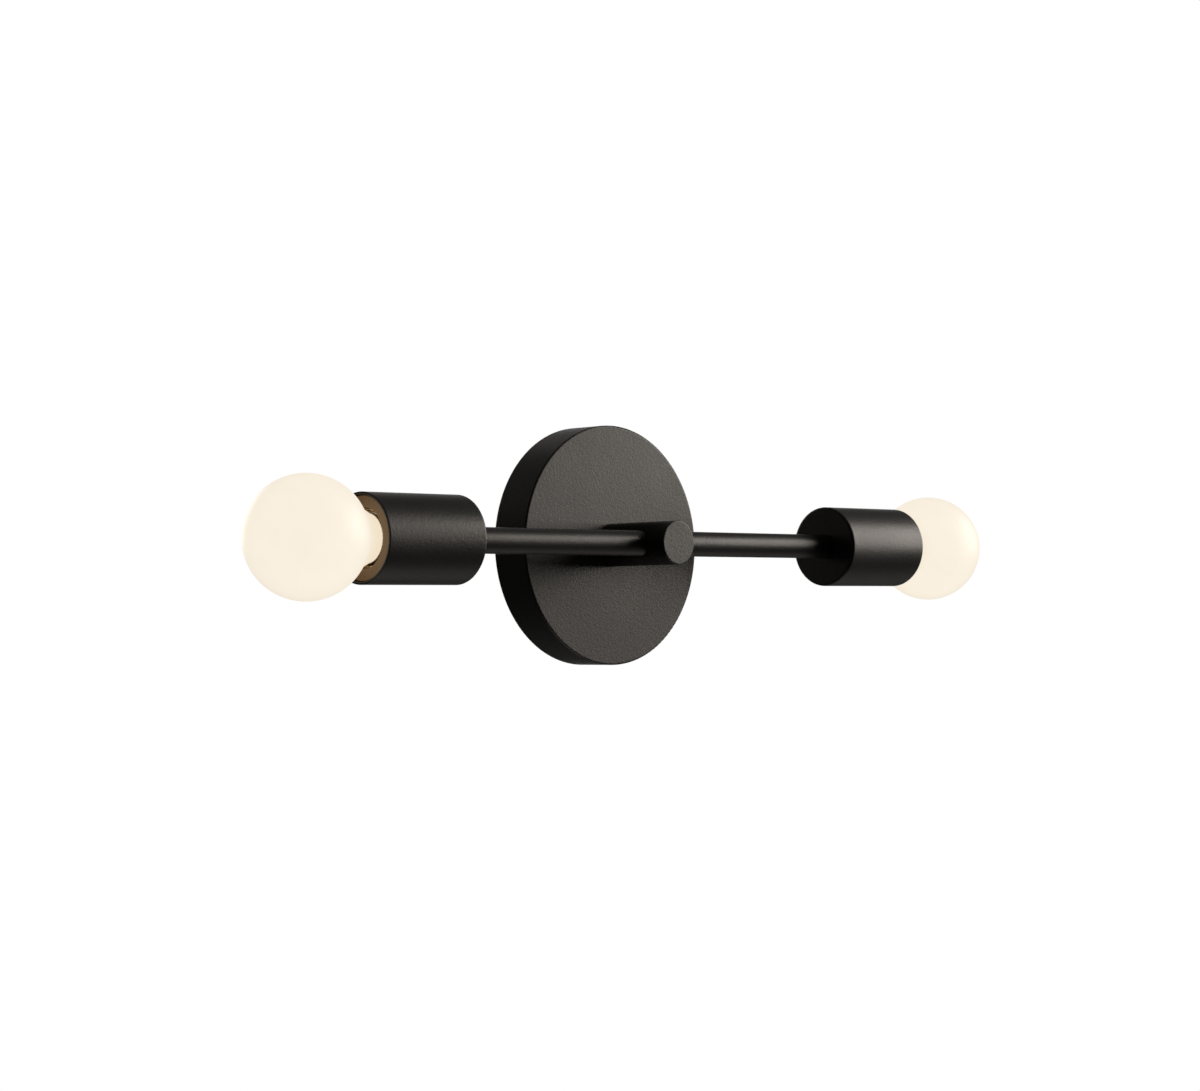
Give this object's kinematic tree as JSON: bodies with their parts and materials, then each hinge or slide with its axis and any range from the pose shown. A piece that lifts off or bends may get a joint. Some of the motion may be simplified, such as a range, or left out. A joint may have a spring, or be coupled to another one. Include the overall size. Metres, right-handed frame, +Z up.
{
  "type": "pipe wall light",
  "caption": "Wall light in pipe style: a round wall canopy, a short stem and level arms to either side, each ending in a socket cup with an opal globe bulb that screws out.",
  "frame": {"origin": "centre of the canopy's back rim, on the wall", "axes": "+Z up, +Y into the wall, +X along the right arm as seen from the room"},
  "size_m": [0.5174, 0.0826, 0.127],
  "materials": {
    "black_coat": "satin powder coat",
    "zinc_steel": "zinc plated",
    "green_screw": "green dyed zinc",
    "tinned_copper": "tinned",
    "green_insulation": "satin",
    "black_insulation": "satin",
    "white_insulation": "satin",
    "connector_plastic": "moulded",
    "socket_phenolic": "moulded",
    "contact_brass": "stamped",
    "solder_tin": "solder",
    "nickel_cap": "nickel plated",
    "black_glass": "fused",
    "opal_glass": "opal",
    "clear_glass": "clear",
    "filament_phosphor": "coated",
    "circuit_board": "lacquered"
  },
  "bodies": {
    "crossbar": {"wall_bracket": "zinc_steel", "ground_screw": "green_screw"},
    "fixture": {"canopy": "black_coat", "stem": "black_coat", "stem_pipe": "zinc_steel", "stem_lock_washer": "zinc_steel", "stem_nut": "zinc_steel", "earth_ring_tongue": "tinned_copper", "earth_lead": "green_insulation", "wire_connectors": "connector_plastic", "right_arm": "black_coat", "right_arm_pipe": "zinc_steel", "right_cup": "black_coat", "right_cup_pipe": "zinc_steel", "right_cup_nut": "zinc_steel", "right_socket_strap": "zinc_steel", "right_strap_screws": "zinc_steel", "right_socket_body": "socket_phenolic", "right_centre_contact": "contact_brass", "right_screw_shell": "contact_brass", "right_clamp_screws": "contact_brass", "right_live_lead": "black_insulation", "right_neutral_lead": "white_insulation", "left_arm": "black_coat", "left_arm_pipe": "zinc_steel", "left_cup": "black_coat", "left_cup_pipe": "zinc_steel", "left_cup_nut": "zinc_steel", "left_socket_strap": "zinc_steel", "left_strap_screws": "zinc_steel", "left_socket_body": "socket_phenolic", "left_centre_contact": "contact_brass", "left_screw_shell": "contact_brass", "left_clamp_screws": "contact_brass", "left_live_lead": "black_insulation", "left_neutral_lead": "white_insulation"},
    "right_rim_screw": {"right_side_screw": "black_coat"},
    "right_bulb_contact": {"right_bulb_tip": "solder_tin"},
    "right_bulb": {"right_bulb_insulator": "black_glass", "right_bulb_cap": "nickel_cap", "right_bulb_globe": "opal_glass", "right_bulb_glass_mount": "clear_glass", "right_bulb_filaments": "filament_phosphor", "right_bulb_support_wires": "nickel_cap", "right_bulb_driver": "circuit_board"},
    "left_rim_screw": {"left_side_screw": "black_coat"},
    "left_bulb_contact": {"left_bulb_tip": "solder_tin"},
    "left_bulb": {"left_bulb_insulator": "black_glass", "left_bulb_cap": "nickel_cap", "left_bulb_globe": "opal_glass", "left_bulb_glass_mount": "clear_glass", "left_bulb_filaments": "filament_phosphor", "left_bulb_support_wires": "nickel_cap", "left_bulb_driver": "circuit_board"}
  },
  "joints": [
    {"name": "canopy_lift_off", "type": "slide", "parent": "crossbar", "child": "fixture", "axis": [0, -1, 0], "range_m": [0, 0.04]},
    {"name": "right_rim_screw_travel", "type": "slide", "parent": "crossbar", "child": "right_rim_screw", "axis": [1, 0, 0], "range_m": [0, 0.004]},
    {"name": "right_bulb_travel", "type": "slide", "parent": "fixture", "child": "right_bulb_contact", "axis": [1, 0, 0], "range_m": [0, 0.01452]},
    {"name": "right_bulb_turn", "type": "hinge", "parent": "right_bulb_contact", "child": "right_bulb", "pos_m": [0.184, -0.0529, 0], "axis": [1, 0, 0], "range_deg": [0, 1440]},
    {"name": "left_rim_screw_travel", "type": "slide", "parent": "crossbar", "child": "left_rim_screw", "axis": [-1, 0, 0], "range_m": [0, 0.004]},
    {"name": "left_bulb_travel", "type": "slide", "parent": "fixture", "child": "left_bulb_contact", "axis": [-1, 0, 0], "range_m": [0, 0.01452]},
    {"name": "left_bulb_turn", "type": "hinge", "parent": "left_bulb_contact", "child": "left_bulb", "pos_m": [-0.184, -0.0529, 0], "axis": [-1, 0, 0], "range_deg": [0, 1440]}
  ],
  "couplings": [
    {"joint": "right_bulb_travel", "follows": "right_bulb_turn", "m_per_rad": 0.00057757},
    {"joint": "left_bulb_travel", "follows": "left_bulb_turn", "m_per_rad": 0.00057757}
  ]
}
